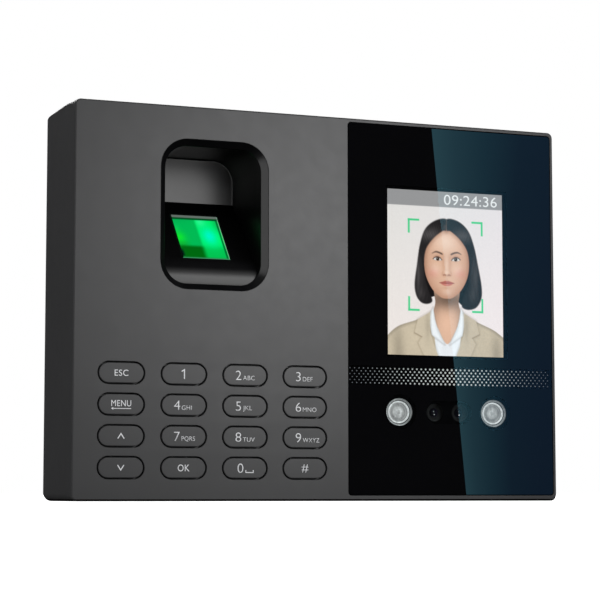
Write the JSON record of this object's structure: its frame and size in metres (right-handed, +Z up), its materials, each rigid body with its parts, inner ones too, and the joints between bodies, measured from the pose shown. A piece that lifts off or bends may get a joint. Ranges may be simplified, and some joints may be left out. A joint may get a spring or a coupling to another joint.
{
  "type": "fingerprint scanner terminal",
  "caption": "Wall-hung access terminal with a finger recess over a green optical sensor, a capsule keypad, and a black glass window over a display, cameras and lamps.",
  "frame": {"origin": "centre of the footprint, on the plane of the base", "axes": "+X to the right seen from the front, +Y into the wall (the front faces -Y), +Z up"},
  "size_m": [0.1748, 0.0364, 0.13],
  "materials": {
    "shell_plastic": "fine matte texture, dark grey",
    "key_plastic": "fine matte, same grey as the shell, light legends",
    "cover_plastic": "coarser matte texture, near black",
    "bezel_gloss": "polished black",
    "black_glass": "polished, black ink behind with clear openings",
    "sensor_glass": "clear optical block lit green from below",
    "lens_glass": "coated lens",
    "lamp_clear": "moulded clear diffuser",
    "display": "colour display, lit",
    "reflector": "bright moulded cup",
    "tray_metal": "tinned sheet",
    "bracket_steel": "powder coat over folded sheet",
    "screw_steel": "plain zinc",
    "socket_metal": "nickel-plated shell",
    "cell_steel": "bright can",
    "circuit_board": "green solder mask",
    "module_plastic": "moulded black",
    "silicone": "matt silicone",
    "tape": "black adhesive foam",
    "flex_cable": "polyimide film",
    "cone_paper": "pressed paper"
  },
  "bodies": {
    "terminal": {"front_shell": "shell_plastic", "rear_cover": "cover_plastic", "wall_bracket": "bracket_steel", "bracket_screw": "screw_steel", "front_glass": "black_glass", "glass_tape": "tape", "lcd_panel": "display", "lcd_tray": "tray_metal", "lcd_flex": "flex_cable", "sensor_bezel": "bezel_gloss", "sensor_prism": "sensor_glass", "sensor_housing": "module_plastic", "sensor_board": "circuit_board", "sensor_cable": "flex_cable", "keypad_mat": "silicone", "keypad_board": "circuit_board", "keypad_cable": "flex_cable", "camera_holder": "module_plastic", "camera_board": "circuit_board", "camera_color": "module_plastic", "camera_infrared": "module_plastic", "camera_lens_color": "lens_glass", "camera_lens_infrared": "lens_glass", "lamp_cup_left": "reflector", "lamp_cup_right": "reflector", "lamp_lens_left": "lamp_clear", "lamp_lens_right": "lamp_clear", "main_board": "circuit_board", "processor_shield": "tray_metal", "clock_cell": "cell_steel", "power_jack": "module_plastic", "lan_socket": "socket_metal", "usb_socket": "socket_metal", "speaker_frame": "module_plastic", "speaker_cone": "cone_paper", "board_screw_1": "screw_steel", "cover_screw_1": "screw_steel", "board_screw_2": "screw_steel", "cover_screw_2": "screw_steel", "board_screw_3": "screw_steel", "cover_screw_3": "screw_steel", "board_screw_4": "screw_steel", "cover_screw_4": "screw_steel"},
    "key_escape": {"key_escape": "key_plastic"},
    "key_1": {"key_1": "key_plastic"},
    "key_2": {"key_2": "key_plastic"},
    "key_3": {"key_3": "key_plastic"},
    "key_menu": {"key_menu": "key_plastic"},
    "key_4": {"key_4": "key_plastic"},
    "key_5": {"key_5": "key_plastic"},
    "key_6": {"key_6": "key_plastic"},
    "key_up": {"key_up": "key_plastic"},
    "key_7": {"key_7": "key_plastic"},
    "key_8": {"key_8": "key_plastic"},
    "key_9": {"key_9": "key_plastic"},
    "key_down": {"key_down": "key_plastic"},
    "key_enter": {"key_enter": "key_plastic"},
    "key_0": {"key_0": "key_plastic"},
    "key_hash": {"key_hash": "key_plastic"}
  },
  "joints": [
    {"name": "key_escape_press", "type": "slide", "parent": "terminal", "child": "key_escape", "axis": [0, 1, 0], "range_m": [0, 0.0008], "stiffness_N_per_m": 40, "springref_m": -0.002},
    {"name": "key_1_press", "type": "slide", "parent": "terminal", "child": "key_1", "axis": [0, 1, 0], "range_m": [0, 0.0008], "stiffness_N_per_m": 40, "springref_m": -0.002},
    {"name": "key_2_press", "type": "slide", "parent": "terminal", "child": "key_2", "axis": [0, 1, 0], "range_m": [0, 0.0008], "stiffness_N_per_m": 40, "springref_m": -0.002},
    {"name": "key_3_press", "type": "slide", "parent": "terminal", "child": "key_3", "axis": [0, 1, 0], "range_m": [0, 0.0008], "stiffness_N_per_m": 40, "springref_m": -0.002},
    {"name": "key_menu_press", "type": "slide", "parent": "terminal", "child": "key_menu", "axis": [0, 1, 0], "range_m": [0, 0.0008], "stiffness_N_per_m": 40, "springref_m": -0.002},
    {"name": "key_4_press", "type": "slide", "parent": "terminal", "child": "key_4", "axis": [0, 1, 0], "range_m": [0, 0.0008], "stiffness_N_per_m": 40, "springref_m": -0.002},
    {"name": "key_5_press", "type": "slide", "parent": "terminal", "child": "key_5", "axis": [0, 1, 0], "range_m": [0, 0.0008], "stiffness_N_per_m": 40, "springref_m": -0.002},
    {"name": "key_6_press", "type": "slide", "parent": "terminal", "child": "key_6", "axis": [0, 1, 0], "range_m": [0, 0.0008], "stiffness_N_per_m": 40, "springref_m": -0.002},
    {"name": "key_up_press", "type": "slide", "parent": "terminal", "child": "key_up", "axis": [0, 1, 0], "range_m": [0, 0.0008], "stiffness_N_per_m": 40, "springref_m": -0.002},
    {"name": "key_7_press", "type": "slide", "parent": "terminal", "child": "key_7", "axis": [0, 1, 0], "range_m": [0, 0.0008], "stiffness_N_per_m": 40, "springref_m": -0.002},
    {"name": "key_8_press", "type": "slide", "parent": "terminal", "child": "key_8", "axis": [0, 1, 0], "range_m": [0, 0.0008], "stiffness_N_per_m": 40, "springref_m": -0.002},
    {"name": "key_9_press", "type": "slide", "parent": "terminal", "child": "key_9", "axis": [0, 1, 0], "range_m": [0, 0.0008], "stiffness_N_per_m": 40, "springref_m": -0.002},
    {"name": "key_down_press", "type": "slide", "parent": "terminal", "child": "key_down", "axis": [0, 1, 0], "range_m": [0, 0.0008], "stiffness_N_per_m": 40, "springref_m": -0.002},
    {"name": "key_enter_press", "type": "slide", "parent": "terminal", "child": "key_enter", "axis": [0, 1, 0], "range_m": [0, 0.0008], "stiffness_N_per_m": 40, "springref_m": -0.002},
    {"name": "key_0_press", "type": "slide", "parent": "terminal", "child": "key_0", "axis": [0, 1, 0], "range_m": [0, 0.0008], "stiffness_N_per_m": 40, "springref_m": -0.002},
    {"name": "key_hash_press", "type": "slide", "parent": "terminal", "child": "key_hash", "axis": [0, 1, 0], "range_m": [0, 0.0008], "stiffness_N_per_m": 40, "springref_m": -0.002}
  ]
}
